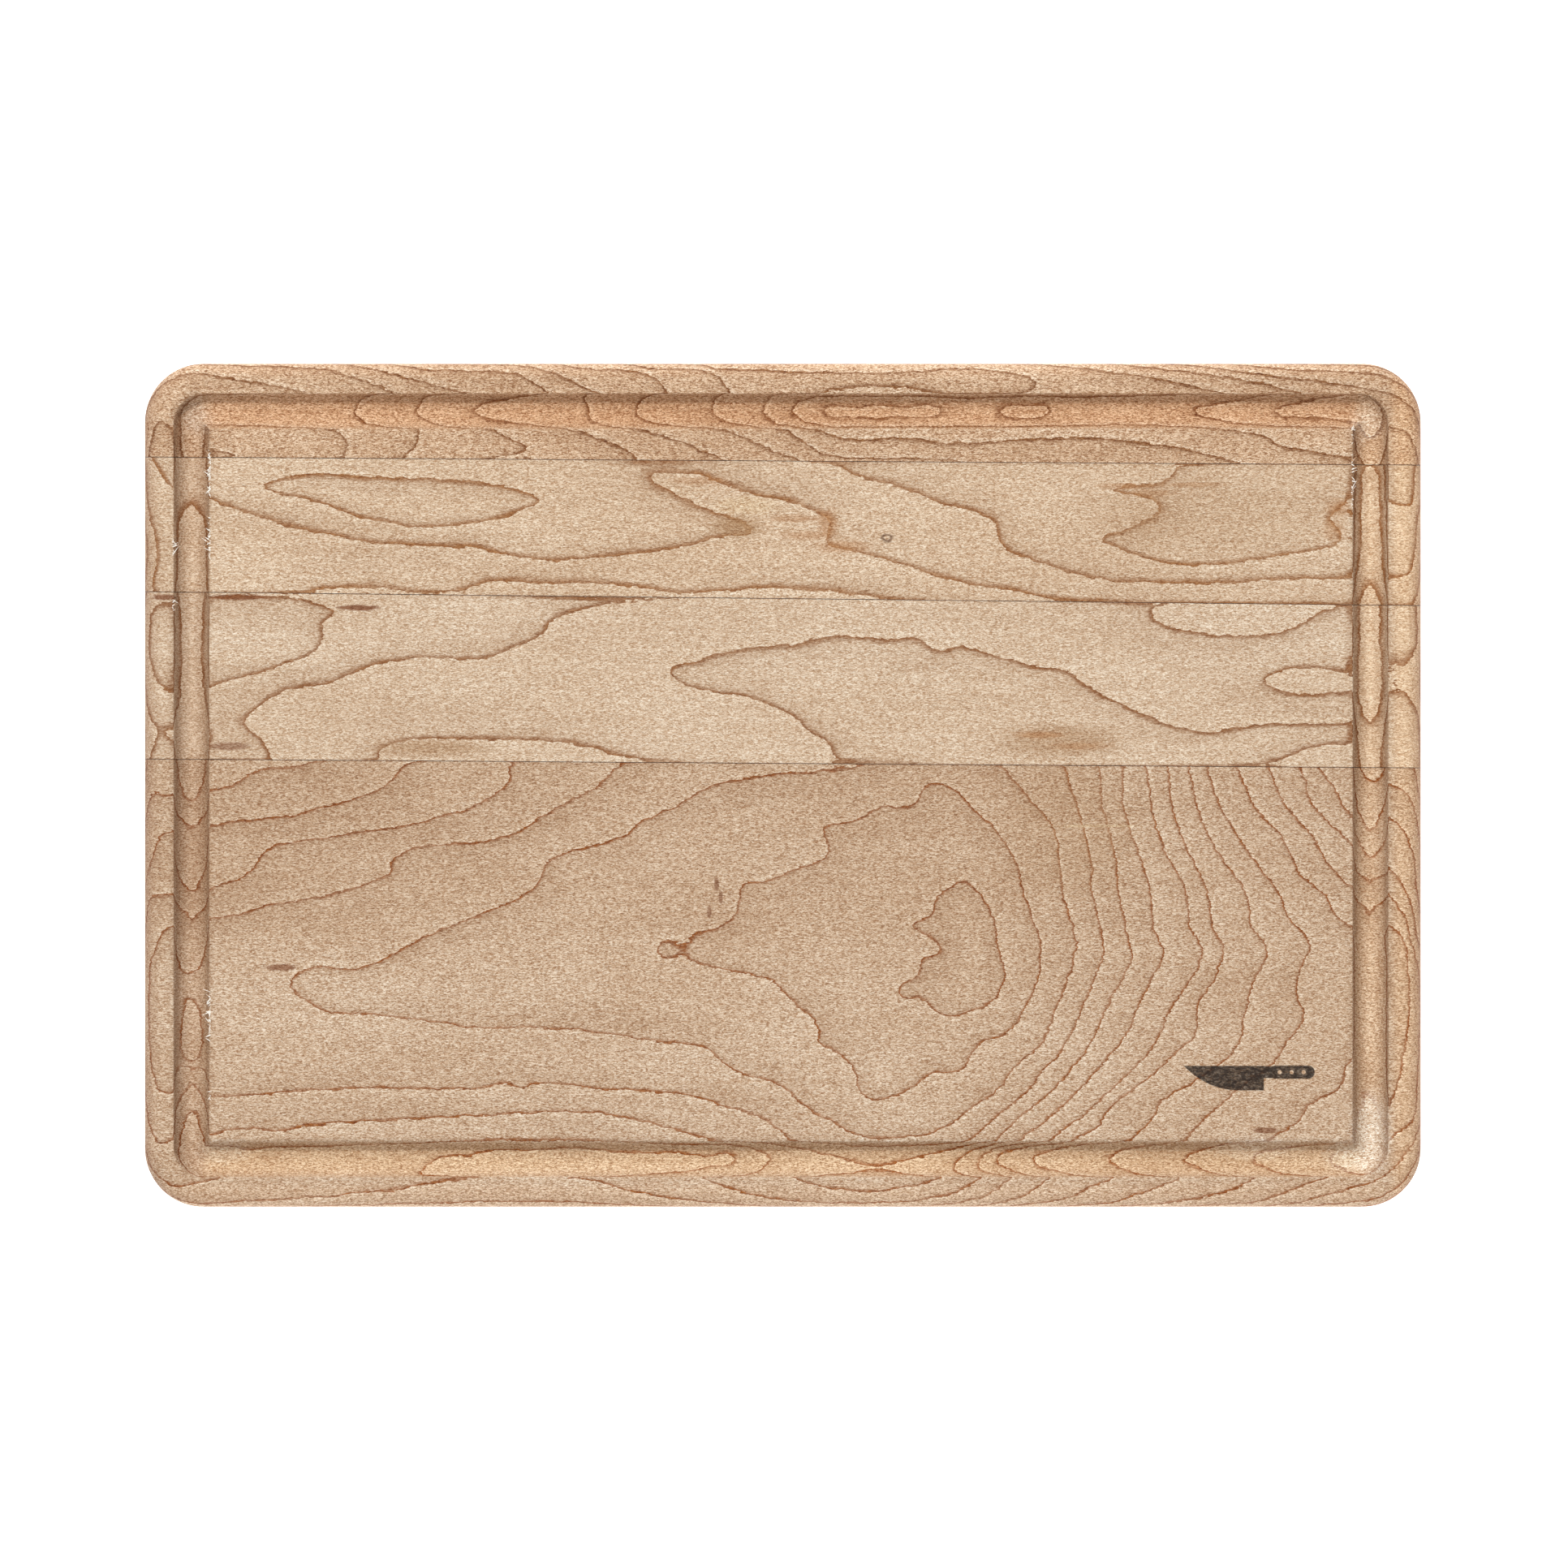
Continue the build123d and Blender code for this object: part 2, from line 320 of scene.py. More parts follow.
def groove_drop(x, y):
    """How far the groove lies below the cutting face."""
    offset = groove_offset(x, y)
    wall = np.sqrt(np.maximum(CUTTER_RADIUS**2 - offset**2, 0)) - CUTTER_RISE
    lip = LIP_RADIUS - np.sqrt(np.maximum(LIP_RADIUS**2 - (offset - LIP_OUTER) ** 2, 0))
    return np.where(offset < LIP_INNER, wall, np.where(offset < LIP_OUTER, lip, 0))


def top_height(x, y):
    return THICKNESS - np.maximum(rim_drop(x, y), groove_drop(x, y))


def seam_y(seam, x, side):
    """The face of a glue film: side is +1 for its far face and -1 for its near face."""
    left_y, right_y = seam
    slope = (right_y - left_y) / LENGTH
    middle = (left_y + right_y) / 2
    return middle + slope * x + side * GLUE_THICKNESS / 2 * math.hypot(1, slope)


# ---------------- plan points

RIM_INSETS = (0.12, 0.48, 1.06, 1.86, 2.84, 3.95, 5.1, 6.35, 7.6)
GROOVE_SIDE = [1.6, 3.1, 4.4, 5.4, 6.0, LIP_INNER, 6.32, 6.45, LIP_OUTER]
GROOVE_OFFSETS = [-offset for offset in GROOVE_SIDE] + [0.0] + GROOVE_SIDE
ROW_STEP = 1.6
FACE_STEP = 2.0
UNDERSIDE_STEP = 6.0
SEAM_CLEARANCE = 0.45
OUTLINE_CLEARANCE = 0.05
STATION_CLEARANCE = 0.6


def spread(start, end, step):
    """Evenly spaced numbers from start to end, about a step apart."""
    count = max(2, int(round(abs(end - start) / step)) + 1)
    return np.linspace(start, end, count)


def rounded_row(half_x, half_y, radius, step, centre_x=0.0):
    """Points round a rounded rectangle. A radius of nothing gives square corners."""
    radius = max(radius, 0.0)
    run_x = half_x - radius
    run_y = half_y - radius
    points = []
    for x in spread(-run_x, run_x, step):
        points += [(x, half_y), (x, -half_y)]
    for y in spread(-run_y, run_y, step):
        points += [(half_x, y), (-half_x, y)]
    if radius > 0:
        arc_steps = max(4, int(radius * math.pi / 2 / step) + 1)
        for angle in np.linspace(0, math.pi / 2, arc_steps + 1)[1:-1]:
            across = run_x + radius * math.cos(angle)
            along = run_y + radius * math.sin(angle)
            points += [(sx * across, sy * along) for sx in (-1, 1) for sy in (-1, 1)]
    return [(x + centre_x, y) for x, y in points]


def rim_points(step):
    points = []
    for inset in RIM_INSETS:
        points += rounded_row(LENGTH / 2 - inset, WIDTH / 2 - inset, CORNER_RADIUS - inset, step)
    return points


def groove_points():
    points = []
    for offset in GROOVE_OFFSETS:
        half_x = GROOVE_HALF_LENGTH + offset
        half_y = GROOVE_HALF_WIDTH + offset
        points += rounded_row(half_x, half_y, GROOVE_RADIUS + offset, ROW_STEP, GROOVE_SHIFT)
    return points


def face_points():
    """A grid over the flat inside the groove, and nothing on the groove itself."""
    xs = spread(-GROOVE_HALF_LENGTH, GROOVE_HALF_LENGTH, FACE_STEP)
    ys = spread(-GROOVE_HALF_WIDTH, GROOVE_HALF_WIDTH, FACE_STEP)
    return [
        (x, y)
        for x in xs
        for y in ys
        if groove_offset(x, y) > LIP_OUTER + FACE_STEP / 2
    ]


def underside_points():
    margin = RIM_INSETS[-1] + 2
    xs = spread(margin - LENGTH / 2, LENGTH / 2 - margin, UNDERSIDE_STEP)
    ys = spread(margin - WIDTH / 2, WIDTH / 2 - margin, UNDERSIDE_STEP)
    inner = [(x, y) for x in xs for y in ys if edge_inset(x, y) > margin - 0.5]
    return rim_points(ROW_STEP * 2) + inner


def seam_stations():
    """X of each point along a seam: every row that it crosses, and an even spread between."""
    half = LENGTH / 2
    rows = [side * (half - inset) for side in (-1, 1) for inset in RIM_INSETS]
    for offset in GROOVE_OFFSETS:
        rows += [LEFT_RUN - offset, RIGHT_RUN + offset]
    even = [
        x for x in spread(-half, half, ROW_STEP)
        if min(abs(x - row) for row in rows) > STATION_CLEARANCE
    ]
    return sorted(set(rows + even + [-half, half]))


def stave_seams(number):
    """The seams at a stave's far and near edges, or None at the board's own edge."""
    seams = [None] + SEAMS + [None]
    return seams[number - 1], seams[number]


def between_seams(number, x, y):
    """Whether points in plan lie between a stave's seams, and clear of them."""
    far, near = stave_seams(number)
    inside = np.full(np.shape(y), True)
    if far:
        inside &= y < seam_y(far, x, -1) - SEAM_CLEARANCE
    if near:
        inside &= y > seam_y(near, x, 1) + SEAM_CLEARANCE
    return inside


def stave_boundary(number):
    """The stave's outline in plan, which is convex, in order round its middle."""
    outline = rounded_row(LENGTH / 2, WIDTH / 2, CORNER_RADIUS, ROW_STEP)
    points = [(x, y) for x, y in outline if between_seams(number, x, y)]
    for seam, side in zip(stave_seams(number), (-1, 1)):
        if seam:
            points += [(x, seam_y(seam, x, side)) for x in seam_stations()]
    points = sorted(set((round(x, 5), round(y, 5)) for x, y in points))
    middle_y = (min(y for _, y in points) + max(y for _, y in points)) / 2
    return sorted(points, key=lambda p: math.atan2(p[1] - middle_y, p[0]))


def inside_stave(points, number):
    """The points that lie in a stave, clear of its edges."""
    xy = np.array(sorted(set((round(x, 4), round(y, 4)) for x, y in points)))
    x, y = xy.T
    return xy[(edge_inset(x, y) > OUTLINE_CLEARANCE) & between_seams(number, x, y)]


def triangulate(boundary, inner):
    """Triangles over a convex outline and the points in it. The outline comes first."""
    count = len(boundary)
    coordinates = [Vector(p) for p in boundary] + [Vector(p) for p in inner]
    edges = [(i, (i + 1) % count) for i in range(count)]
    result = delaunay_2d_cdt(coordinates, edges, [], 1, 1e-5)
    points, faces, origins = result[0], result[2], result[3]
    outline = {}
    for index, source in enumerate(origins):
        for original in source:
            if original < count:
                outline[original] = index
    ring = [outline[i] for i in range(count)]
    return np.array([(p.x, p.y) for p in points]), [tuple(f) for f in faces], ring


# ---------------- ring figure

LINE_STEP = 4.0
# How freely each fit may miss its points, to stay smooth
FACE_SMOOTHING = 2.0
FLOOR_SMOOTHING = 0.02
# How far the figure drifts along the grain with depth, and how that sways across the board
DRIFT = 1.6
DRIFT_SWAY = 31.0
DRIFT_PHASE = 0.5
# The step that slopes are measured over, and the least and most that they may be
SLOPE_STEP = 0.4
SLOPE_LIMITS = (0.004, 2.0)
# How many places are worked out at once, to save memory
BATCH = 8000


def smooth_line(points):
    """Points every few millimetres along a smooth curve through the ones given."""
    points = [np.array(p, float) for p in points]
    ends = [2 * points[0] - points[1]] + points + [2 * points[-1] - points[-2]]
    dense = []
    for a, b, c, d in zip(ends, ends[1:], ends[2:], ends[3:]):
        steps = max(1, int(round(np.linalg.norm(c - b) / LINE_STEP)))
        for i in range(steps):
            t = i / steps
            dense.append(
                0.5 * (2 * b + (c - a) * t + (2 * a - 5 * b + 4 * c - d) * t**2
                       + (3 * b - a - 3 * c + d) * t**3)
            )
    dense.append(points[-1])
    return dense


def run_place(run, along, aside=0.0):
    """The plan point along one of the groove's four runs, and aside from its middle."""
    if run in ("left", "right"):
        return ((LEFT_RUN if run == "left" else RIGHT_RUN) + aside, along)
    return (along, (GROOVE_HALF_WIDTH if run == "far" else -GROOVE_HALF_WIDTH) + aside)


def plate_kernel(squared):
    return 0.5 * squared * np.log(np.maximum(squared, 1e-9))


class RingFigure:
    """A thin plate bent through every ring line of one stave: its height is the wood's age.

    The lines are where rings meet the board's surface. A second field, felt in the groove
    alone, carries the figure to the tongues on the groove's floor.
    """

    def __init__(self, number):
        self.stretch = np.array([FIGURE_STRETCH[number], 1.0])
        places = []
        ages = []
        for age, line in RING_LINES[number]:
            for point in smooth_line(line):
                places.append(point)
                ages.append(age)
        places = np.array(places)
        ages = np.array(ages, float) - RINGS_PER_DEPTH * rim_drop(places[:, 0], places[:, 1])
        self.centres = places / self.stretch
        count = len(places)
        gaps = ((self.centres[:, None] - self.centres[None]) ** 2).sum(-1)
        plane = np.c_[np.ones(count), self.centres]
        matrix = np.zeros((count + 3, count + 3))
        matrix[:count, :count] = plate_kernel(gaps) + FACE_SMOOTHING * np.eye(count)
        matrix[:count, count:] = plane
        matrix[count:, :count] = plane.T
        self.weights = np.linalg.solve(matrix, np.r_[ages, 0, 0, 0])
        self.fit_floor(number)

    def fit_floor(self, number):
        rows = []
        for run, places in FLOOR_AGES[number]:
            rows += [(*run_place(run, *place), age) for age, *place in places]
        for run, way, tips in TONGUES[number]:
            for age, tip in tips:
                beside = tip - way * TONGUE_LENGTH
                rows.append((*run_place(run, tip), age))
                rows.append((*run_place(run, beside, -TONGUE_HALF_WIDTH), age))
                rows.append((*run_place(run, beside, TONGUE_HALF_WIDTH), age))
        x, y, ages = np.array(rows, float).T
        drop = groove_drop(x, y)
        wanted = (ages - self.face_age(x, y) - RINGS_PER_DEPTH * drop) * GROOVE_DEPTH / drop
        self.floor_places = np.c_[x, y]
        kernel = self.floor_kernel(x, y)
        self.floor_weights = np.linalg.solve(kernel + FLOOR_SMOOTHING * np.eye(len(x)), wanted)

    def floor_kernel(self, x, y):
        gaps = np.hypot(x[:, None] - self.floor_places[:, 0], y[:, None] - self.floor_places[:, 1])
        gaps /= FLOOR_REACH
        return (1 + gaps) * np.exp(-gaps)

    def face_age(self, x, y):
        places = np.c_[x, y] / self.stretch
        count = len(self.centres)
        ages = np.empty(len(places))
        for start in range(0, len(places), BATCH):
            part = places[start:start + BATCH]
            gaps = ((part[:, None] - self.centres[None]) ** 2).sum(-1)
            bend = plate_kernel(gaps) @ self.weights[:count]
            ages[start:start + BATCH] = bend + self.weights[count] + part @ self.weights[count + 1:]
        return ages

    def age(self, x, y, z):
        """Age anywhere in the stave. Deep down, the figure drifts along the grain."""
        depth = THICKNESS - z
        drift = DRIFT * depth * np.sin(y / DRIFT_SWAY + DRIFT_PHASE)
        ages = self.face_age(x + drift * depth / THICKNESS, y) + RINGS_PER_DEPTH * depth
        drop = np.where(z > THICKNESS / 2, groove_drop(x, y), 0)
        deep = drop > 0
        floor_ages = self.floor_kernel(x[deep], y[deep]) @ self.floor_weights
        ages[deep] += floor_ages * drop[deep] / GROOVE_DEPTH
        return ages

    def age_and_slope(self, co, normals):
        """Age at each point, and how fast it changes along the surface, for each millimetre."""
        x, y, z = co.T
        step = SLOPE_STEP
        age = self.age(x, y, z)
        gradient = np.c_[
            self.age(x + step, y, z) - age,
            self.age(x, y + step, z) - age,
            self.age(x, y, z - step) - age,
        ] / step
        gradient[:, 2] *= -1
        across = (gradient * normals).sum(1)
        slope = np.sqrt(np.maximum((gradient**2).sum(1) - across**2, 0))
        return age, np.clip(slope, *SLOPE_LIMITS)


# ---------------- stave meshes

# Rows of faces up a stave's side, and the angle from which an edge stays sharp, in degrees
SIDE_ROWS = 3
SHARP_ANGLE = 50


def make_stave(number, material):
    boundary = stave_boundary(number)
    count = len(boundary)
    detailed = rim_points(ROW_STEP) + groove_points() + face_points()
    top_xy, top_faces, top_ring = triangulate(boundary, inside_stave(detailed, number))
    low_xy, low_faces, low_ring = triangulate(boundary, inside_stave(underside_points(), number))

    top = np.c_[top_xy, top_height(top_xy[:, 0], top_xy[:, 1])]
    low = np.c_[low_xy, rim_drop(low_xy[:, 0], low_xy[:, 1])]
    rows = [[index + len(top) for index in low_ring]]
    vertices = [top, low]
    used = len(top) + len(low)
    for row in range(1, SIDE_ROWS):
        share = row / SIDE_ROWS
        vertices.append(low[low_ring] * (1 - share) + top[top_ring] * share)
        rows.append(list(range(used, used + count)))
        used += count
    rows.append(top_ring)

    faces = [oriented(face, top_xy) for face in top_faces]
    faces += [tuple(len(top) + i for i in reversed(oriented(f, low_xy))) for f in low_faces]
    for lower, upper in zip(rows, rows[1:]):
        for i in range(count):
            j = (i + 1) % count
            faces.append((lower[i], lower[j], upper[j], upper[i]))

    co = np.vstack(vertices)
    mesh = bpy.data.meshes.new(f"stave_{number}_wood")
    mesh.from_pydata((co * MM).tolist(), [], faces)
    mesh.polygons.foreach_set("use_smooth", np.ones(len(faces), bool))
    mesh.update()
    mesh.set_sharp_from_angle(angle=math.radians(SHARP_ANGLE))

    normals = np.zeros(len(co) * 3, np.float32)
    mesh.vertex_normals.foreach_get("vector", normals)
    age, slope = RingFigure(number).age_and_slope(co, normals.reshape(-1, 3))
    for name, values in (("ring", age), ("slope", slope), ("groove", groove_share(co))):
        attribute = mesh.attributes.new(name, "FLOAT", "POINT")
        attribute.data.foreach_set("value", values.astype(np.float32))
    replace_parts(add_piece(mesh, material), f"stave_{number}")


def add_piece(mesh, material):
    """A wooden piece of the mesh's own name, on the board's one body."""
    mesh.materials.append(material)
    piece = bpy.data.objects.new(mesh.name, mesh)
    bpy.context.scene.collection.objects.link(piece)
    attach(piece, "root")
    return piece


def oriented(face, xy):
    """The face turned so that it goes round anticlockwise in plan."""
    a, b, c = (xy[i] for i in face[:3])
    turn = (b[0] - a[0]) * (c[1] - a[1]) - (b[1] - a[1]) * (c[0] - a[0])
    return face if turn > 0 else tuple(reversed(face))


def groove_share(co):
    """1 on the groove's floor, 0 on the flat and on the underside."""
    drop = groove_drop(co[:, 0], co[:, 1]) / GROOVE_DEPTH
    return np.where(co[:, 2] > THICKNESS / 2, drop, 0)


# ---------------- materials

# A length so long that a pattern doesn't change along its axis
ENDLESS = 1e6
# How ragged a small mark's outline is, and how soft: both are shares of the mark's own size
SPOT_RAGGEDNESS = 1.1
SOFT_EDGE = 0.5
CRISP_EDGE = 0.3


class Nodes:
    """Short names for the shader nodes that the wood is made of."""

    def __init__(self, name):
        self.material = bpy.data.materials.new(name)
        self.material.use_nodes = True
        self.tree = self.material.node_tree
        self.shader = self.tree.nodes["Principled BSDF"]
        self.place = self.tree.nodes.new("ShaderNodeTexCoord").outputs["Object"]

    def feed(self, socket, value):
        if isinstance(value, bpy.types.NodeSocket):
            self.tree.links.new(value, socket)
        else:
            socket.default_value = value

    def math(self, operation, *values):
        node = self.tree.nodes.new("ShaderNodeMath")
        node.operation = operation
        for socket, value in zip(node.inputs, values):
            self.feed(socket, value)
        return node.outputs[0]

    def times(self, product, *others):
        for other in others:
            product = self.math("MULTIPLY", product, other)
        return product

    def distance(self, x, y, to_x, to_y):
        across = self.math("SUBTRACT", x, to_x)
        along = self.math("SUBTRACT", y, to_y)
        return self.math("SQRT", self.math("MULTIPLY_ADD", across, across, self.times(along, along)))

    def axes(self, vector):
        """The X, Y and Z of a vector."""
        node = self.tree.nodes.new("ShaderNodeSeparateXYZ")
        self.feed(node.inputs[0], vector)
        return node.outputs["X"], node.outputs["Y"], node.outputs["Z"]

    def ramp(self, value, low, high, to_low=0.0, to_high=1.0):
        """A smooth step from to_low to to_high as value goes from low to high."""
        node = self.tree.nodes.new("ShaderNodeMapRange")
        node.interpolation_type = "SMOOTHSTEP"
        for name, number in (("Value", value), ("From Min", low), ("From Max", high),
                             ("To Min", to_low), ("To Max", to_high)):
            self.feed(node.inputs[name], number)
        return node.outputs["Result"]

    def fall(self, value, low, high):
        return self.ramp(value, low, high, 1.0, 0.0)

    def attribute(self, name):
        node = self.tree.nodes.new("ShaderNodeAttribute")
        node.attribute_name = name
        return node.outputs["Fac"]

    def scaled(self, x, y, z, shift=(0, 0, 0)):
        """The place on the board, divided by a length in millimetres along each axis."""
        node = self.tree.nodes.new("ShaderNodeMapping")
        node.inputs["Scale"].default_value = (1 / (x * MM), 1 / (y * MM), 1 / (z * MM))
        node.inputs["Location"].default_value = shift
        self.feed(node.inputs["Vector"], self.place)
        return node.outputs["Vector"]

    def noise(self, vector, detail=2.0, roughness=0.5, distortion=0.0):
        node = self.tree.nodes.new("ShaderNodeTexNoise")
        node.inputs["Scale"].default_value = 1.0
        node.inputs["Detail"].default_value = detail
        node.inputs["Roughness"].default_value = roughness
        node.inputs["Distortion"].default_value = distortion
        self.feed(node.inputs["Vector"], vector)
        return node.outputs["Fac"]

    def tint(self, share, below, above, blend="MIX"):
        """Two colours mixed. Sockets 6 and 7 of a Mix node are its colours, and output 2 too."""
        node = self.tree.nodes.new("ShaderNodeMix")
        node.data_type = "RGBA"
        node.blend_type = blend
        self.feed(node.inputs["Factor"], share)
        self.feed(node.inputs[6], below)
        self.feed(node.inputs[7], above)
        return node.outputs[2]

    def finish(self, base, roughness):
        self.feed(self.shader.inputs["Base Color"], base)
        self.feed(self.shader.inputs["Roughness"], roughness)

    def bump(self, height, strength, millimetres):
        node = self.tree.nodes.new("ShaderNodeBump")
        node.inputs["Strength"].default_value = strength
        node.inputs["Distance"].default_value = millimetres * MM
        self.feed(node.inputs["Height"], height)
        self.feed(self.shader.inputs["Normal"], node.outputs["Normal"])

    def spot(self, x, y, half_x, half_y, softness):
        """1 inside a ragged ellipse on the cutting face, fading to 0 over its edge."""
        centre = self.scaled(half_x, half_y, ENDLESS, (-x / half_x, -y / half_y, 0))
        length = self.tree.nodes.new("ShaderNodeVectorMath")
        length.operation = "LENGTH"
        self.feed(length.inputs[0], centre)
        ragged = self.noise(self.scaled(3.5, 1.1, 9.0, (x, y, 0)), 3.0, 0.7)
        reach = self.math("MULTIPLY_ADD", ragged, SPOT_RAGGEDNESS, length.outputs["Value"])
        edge = 1 + SPOT_RAGGEDNESS / 2
        ellipse = self.fall(reach, edge - softness, edge + softness)
        return self.times(ellipse, self.face_mask())

    def face_mask(self):
        """1 on the cutting face and in its groove, 0 on the rest."""
        z = self.axes(self.place)[2]
        return self.ramp(z, 12 * MM, 13 * MM)


def colour(red, green, blue):
    """A colour as eyes name it, 0 to 255, turned to the light that it reflects.

    A colour that only multiplies another may go over 255, to make it brighter.
    """
    def linear(level):
        level /= 255
        return level / 12.92 if level <= 0.04045 else ((level + 0.055) / 1.055) ** 2.4
    return (linear(red), linear(green), linear(blue), 1.0)


STAVE_COLOURS = {
    1: colour(216, 178, 142),
    2: colour(224, 194, 162),
    3: colour(223, 195, 165),
    4: colour(214, 183, 152),
}
LATE_WOOD = colour(166, 122, 84)
EARLY_WOOD = colour(236, 210, 180)

# Each stave's ring lines: their colour, their width in millimetres, and the shade before them
RING_LOOKS = {
    1: (colour(140, 88, 46), 1.5, 0.25),
    2: (colour(160, 106, 60), 2.4, 0.3),
    3: (colour(152, 100, 58), 2.1, 0.3),
    4: (colour(150, 84, 30), 1.25, 0.14),
}
# A line strays by up to about a third of the first, in millimetres. The second is how much of its
# straying is on the finer scale, beside 1 for the broader.
LINE_WAVER = 2.6
LINE_JAG = 0.55
# How far before a line the wood darkens, in millimetres: a wide faint shade and a close one
WIDE_SHADE_REACH = 15.0
WIDE_SHADE_STRENGTH = 0.28
CLOSE_SHADE_REACH = 3.4
# How wide a line's darkest part is, and how far after it the wood is paler, in millimetres
LINE_CORE = 0.2
GLEAM_REACH = 2.2
GLEAM_STRENGTH = 0.3

# How far each stave's fine ripple swings its tone
RIPPLE_SWINGS = {1: 0.675, 2: 0.5, 3: 0.475, 4: 0.575}
# Dark flecks are browner than pale ones: blue swings most with the tone, and red least
TONE_POWERS = (0.8, 1.2, 1.6)

# The groove's colour on its far and near runs and two end runs: finish, plus painted light lifting its
# shade
FAR_RUN_FINISH_AND_LIGHT = colour(260, 248, 236)
NEAR_RUN_FINISH_AND_LIGHT = colour(268, 264, 252)
LEFT_RUN_FINISH_AND_LIGHT = colour(254, 251, 249)
RIGHT_RUN_FINISH_AND_LIGHT = colour(276, 275, 270)

# Painted light: how much paler the rim is made along the right end and the near side, as if more light
# fell there
RIGHT_RIM_PAINTED_LIGHT = colour(272, 267, 258)
NEAR_RIM_PAINTED_LIGHT = colour(264, 262, 260)

# Small marks on the face of each stave: x, y, half length, half width, colour, strength
STREAK = colour(128, 66, 18)
STAIN = colour(178, 136, 94)
FLAME = colour(184, 128, 78)
PALE = colour(232, 204, 162)
# Pale patches in the groove's corners: partly raw, unfinished wood, partly a painted sheen where a
# corner's wall faces the light
RAW_WOOD_AND_SHEEN = colour(230, 212, 192)
MARKS = {}
MARKS[1] = [
    # Painted sheen mixed with raw wood in the groove's two far corners
    (209, 130, 5, 7, RAW_WOOD_AND_SHEEN, 0.35),
    (-209, 131, 5, 5, RAW_WOOD_AND_SHEEN, 0.25),
]
MARKS[2] = [
    (-13, 100, 10, 3.0, PALE, 0.4),
    (-16, 92.5, 8, 3.6, STAIN, 0.75),
    (4, 95.5, 8, 1.3, FLAME, 0.5),
    (9, 89.5, 9, 1.6, FLAME, 0.5),
    (16, 94, 3.5, 4.5, FLAME, 0.6),
    (21, 85.5, 9, 2.2, FLAME, 0.55),
    (-30, 109, 9, 1.4, FLAME, 0.45),
    (121, 107, 8, 1.1, FLAME, 0.5),
    (132, 104.5, 7, 1.6, FLAME, 0.45),
    (148, 107.5, 9, 0.9, FLAME, 0.5),
    (199, 99, 4, 3.0, FLAME, 0.5),
    (197, 91, 4, 3.4, FLAME, 0.45),
    (152, 96, 42, 14, STAIN, 0.3),
]
MARKS[3] = [
    (-152, 63.5, 7, 1.0, STREAK, 0.85),
    (-198, 14, 6.5, 1.4, STREAK, 0.6),
    (-195, 67.3, 10, 1.0, STREAK, 0.8),
    (-221.5, 67.3, 4, 1.0, STREAK, 0.8),
    (99, 16, 21, 5.5, STAIN, 0.55),
    (-125, 13.3, 20, 2.6, STAIN, 0.6),
    (106, 14, 9, 1.2, FLAME, 0.45),
    (92, 18, 8, 1.2, FLAME, 0.6),
]
MARKS[4] = [
    (-179.5, -65.2, 5, 1.2, STREAK, 0.75),
    (173, -123.5, 4.5, 1.1, STREAK, 0.7),
    (-23.7, -35.6, 0.9, 2.4, STREAK, 0.65),
    (-26.3, -45.5, 0.8, 2.0, STREAK, 0.6),
    (-22.2, -40, 0.7, 2.2, STREAK, 0.6),
    (112, -14.6, 14, 0.45, PALE, 0.5),
    (102, -14, 24, 22, STAIN, 0.3),
    # Painted sheen mixed with raw wood round the groove's near corners
    (210.5, -124, 6, 12.5, RAW_WOOD_AND_SHEEN, 0.85),
    (204, -133, 9, 5, RAW_WOOD_AND_SHEEN, 0.7),
    (170, -130, 12, 4, RAW_WOOD_AND_SHEEN, 0.35),
    (-200, -131, 8, 4, RAW_WOOD_AND_SHEEN, 0.4),
]


def maple(number):
    """One stave's wood: its rings, then marks, finish and painted light, then the tone of its fine
    ripple.
    """
    n = Nodes(f"maple_{number}")
    wood = ringed_wood(n, number)
    ripple = n.noise(n.scaled(1.0, 0.34, 0.6), 2.0, 0.65, 0.8)
    pores = n.ramp(n.noise(n.scaled(1.6, 0.25, 0.4, (5, 5, 0)), 1.0), 0.6, 0.74, 1.0, 0.78)

    # The pale marks in the groove's corners are partly painted sheen
    for x, y, half_x, half_y, mark_colour, amount in MARKS[number]:
        softness = CRISP_EDGE if mark_colour == STREAK else SOFT_EDGE
        spot = n.spot(x, y, half_x, half_y, softness)
        wood = n.tint(n.times(spot, amount), wood, mark_colour)
    # Painted light: this multiply brightens the shade in the groove, beside the finish's own colour
    wood = n.tint(n.attribute("groove"), wood, groove_finish_and_light(n), "MULTIPLY")
    # Painted light on the rim's right end and near side
    wood = rim_painted_light(n, wood)
    if number == 2:
        wood = pin_knot(n, wood)
    if number == 4:
        wood = burned_knife(n, wood)
    wood = n.tint(end_grain_share(n), wood, end_grain_colour(n, wood))

    tone = surface_tone(n, number, ripple, pores)
    flecks = n.tree.nodes.new("ShaderNodeCombineColor")
    for channel, power in zip(flecks.inputs, TONE_POWERS):
        n.feed(channel, n.math("POWER", tone, power))
    wood = n.tint(1.0, wood, flecks.outputs["Color"], "MULTIPLY")
    n.finish(wood, n.ramp(ripple, 0.3, 0.7, 0.62, 0.5))
    n.shader.inputs["Specular IOR Level"].default_value = 0.25
    curl = n.noise(n.scaled(2.6, 0.95, 1.4, (1, 1, 1)), 1.0, 0.5, 0.6)
    grain = n.math("MULTIPLY_ADD", curl, 0.8, ripple)
    n.bump(n.math("MULTIPLY_ADD", pores, 0.4, grain), 1.0, 0.34)
    return n.material


